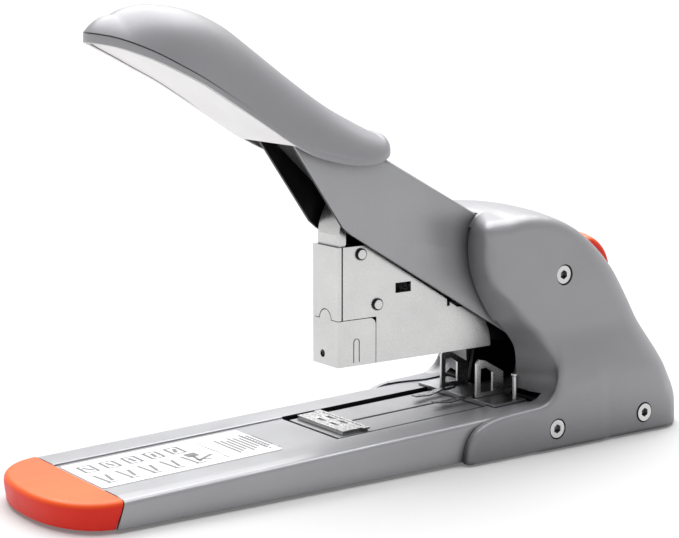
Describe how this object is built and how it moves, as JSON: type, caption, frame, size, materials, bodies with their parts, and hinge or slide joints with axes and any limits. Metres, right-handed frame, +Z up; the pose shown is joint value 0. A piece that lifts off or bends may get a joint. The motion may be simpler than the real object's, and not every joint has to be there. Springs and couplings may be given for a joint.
{
  "type": "heavy duty bench stapler",
  "caption": "Heavy-duty bench stapler with a long steel base, lever arm with moulded grip, front-loading staple drawer, sliding depth stop and rear housing.",
  "frame": {"origin": "on the surface it stands on, under the middle of the stapler's length and width", "axes": "+Z up, the nose and staple outlet towards -Y, the rear housing towards +Y, +X to the right seen from the nose's rear"},
  "size_m": [0.084, 0.31, 0.1887],
  "materials": {
    "grey_paint": "satin powder coat",
    "grey_plastic": "satin metallic grey",
    "orange_plastic": "satin",
    "pale_plastic": "matte",
    "dark_plastic": "matte",
    "label": "coated",
    "nickel": "bright nickel",
    "zinc": "zinc plated",
    "spring_steel": "plated",
    "black_steel": "black",
    "staple_wire": "galvanised",
    "brass": "satin",
    "rubber": "matte"
  },
  "bodies": {
    "base": {"base_channel": "grey_paint", "bottom_plate": "dark_plastic", "rubber_feet": "rubber", "nose_cap": "orange_plastic", "label_plate": "label", "anvil_tongue": "grey_paint", "anvil_plate": "nickel", "tongue_rivets": "zinc", "side_frame_left": "black_steel", "side_frame_right": "black_steel", "frame_rivets": "zinc", "frame_spacer": "zinc", "handle_pivot_pin": "zinc", "magazine_pivot_pin": "zinc", "pivot_bushes": "brass", "handle_spring": "spring_steel", "housing": "grey_plastic", "housing_screws": "zinc", "button_bracket": "black_steel"},
    "handle": {"handle_arm": "grey_paint", "driver_lever": "black_steel", "lever_pins": "zinc", "grip_shell": "grey_plastic", "grip_insert": "pale_plastic", "grip_screws": "zinc"},
    "magazine": {"magazine_channel": "nickel", "driver_guide_plate": "nickel", "magazine_carrier": "black_steel", "guide_rivets": "nickel", "drawer_latch": "spring_steel"},
    "driver": {"staple_driver": "nickel"},
    "drawer": {"drawer_head": "nickel", "staple_rail": "zinc", "spring_rod": "zinc", "staple_stick": "staple_wire", "pusher_spring": "spring_steel"},
    "pusher": {"staple_pusher": "dark_plastic"},
    "button": {"release_button": "orange_plastic", "button_spring": "spring_steel"},
    "stop": {"stop_slider": "zinc", "stop_uprights": "nickel", "stop_posts": "nickel", "stop_leaf_spring": "spring_steel"}
  },
  "joints": [
    {"name": "handle_hinge", "type": "hinge", "parent": "base", "child": "handle", "pos_m": [0, 0.082, 0.0735], "axis": [1, 0, 0], "range_deg": [0, 24], "stiffness_Nm_per_rad": 2, "springref_deg": -34.38},
    {"name": "magazine_hinge", "type": "hinge", "parent": "base", "child": "magazine", "pos_m": [0, 0.095, 0.0455], "axis": [1, 0, 0], "range_deg": [0, 11.1]},
    {"name": "driver_slide", "type": "slide", "parent": "magazine", "child": "driver", "axis": [0, 0, -1], "range_m": [0, 0.0197]},
    {"name": "drawer_slide", "type": "slide", "parent": "magazine", "child": "drawer", "axis": [0, 1, 0], "range_m": [-0.06, 0]},
    {"name": "pusher_slide", "type": "slide", "parent": "drawer", "child": "pusher", "axis": [0, 1, 0], "range_m": [0, 0.014], "stiffness_N_per_m": 60, "springref_m": -0.03, "deforming": ["pusher_spring"]},
    {"name": "button_press", "type": "slide", "parent": "base", "child": "button", "axis": [0, -0.766, -0.6428], "range_m": [0, 0.003], "stiffness_N_per_m": 800, "springref_m": -0.003, "deforming": ["button_spring"]},
    {"name": "stop_slide", "type": "slide", "parent": "base", "child": "stop", "axis": [0, -0.9994, -0.0349], "range_m": [0, 0.038]}
  ],
  "couplings": [
    {"joint": "magazine_hinge", "follows": "handle_hinge", "ratio": 0.45833},
    {"joint": "driver_slide", "follows": "handle_hinge", "m_per_rad": 0.046792}
  ]
}
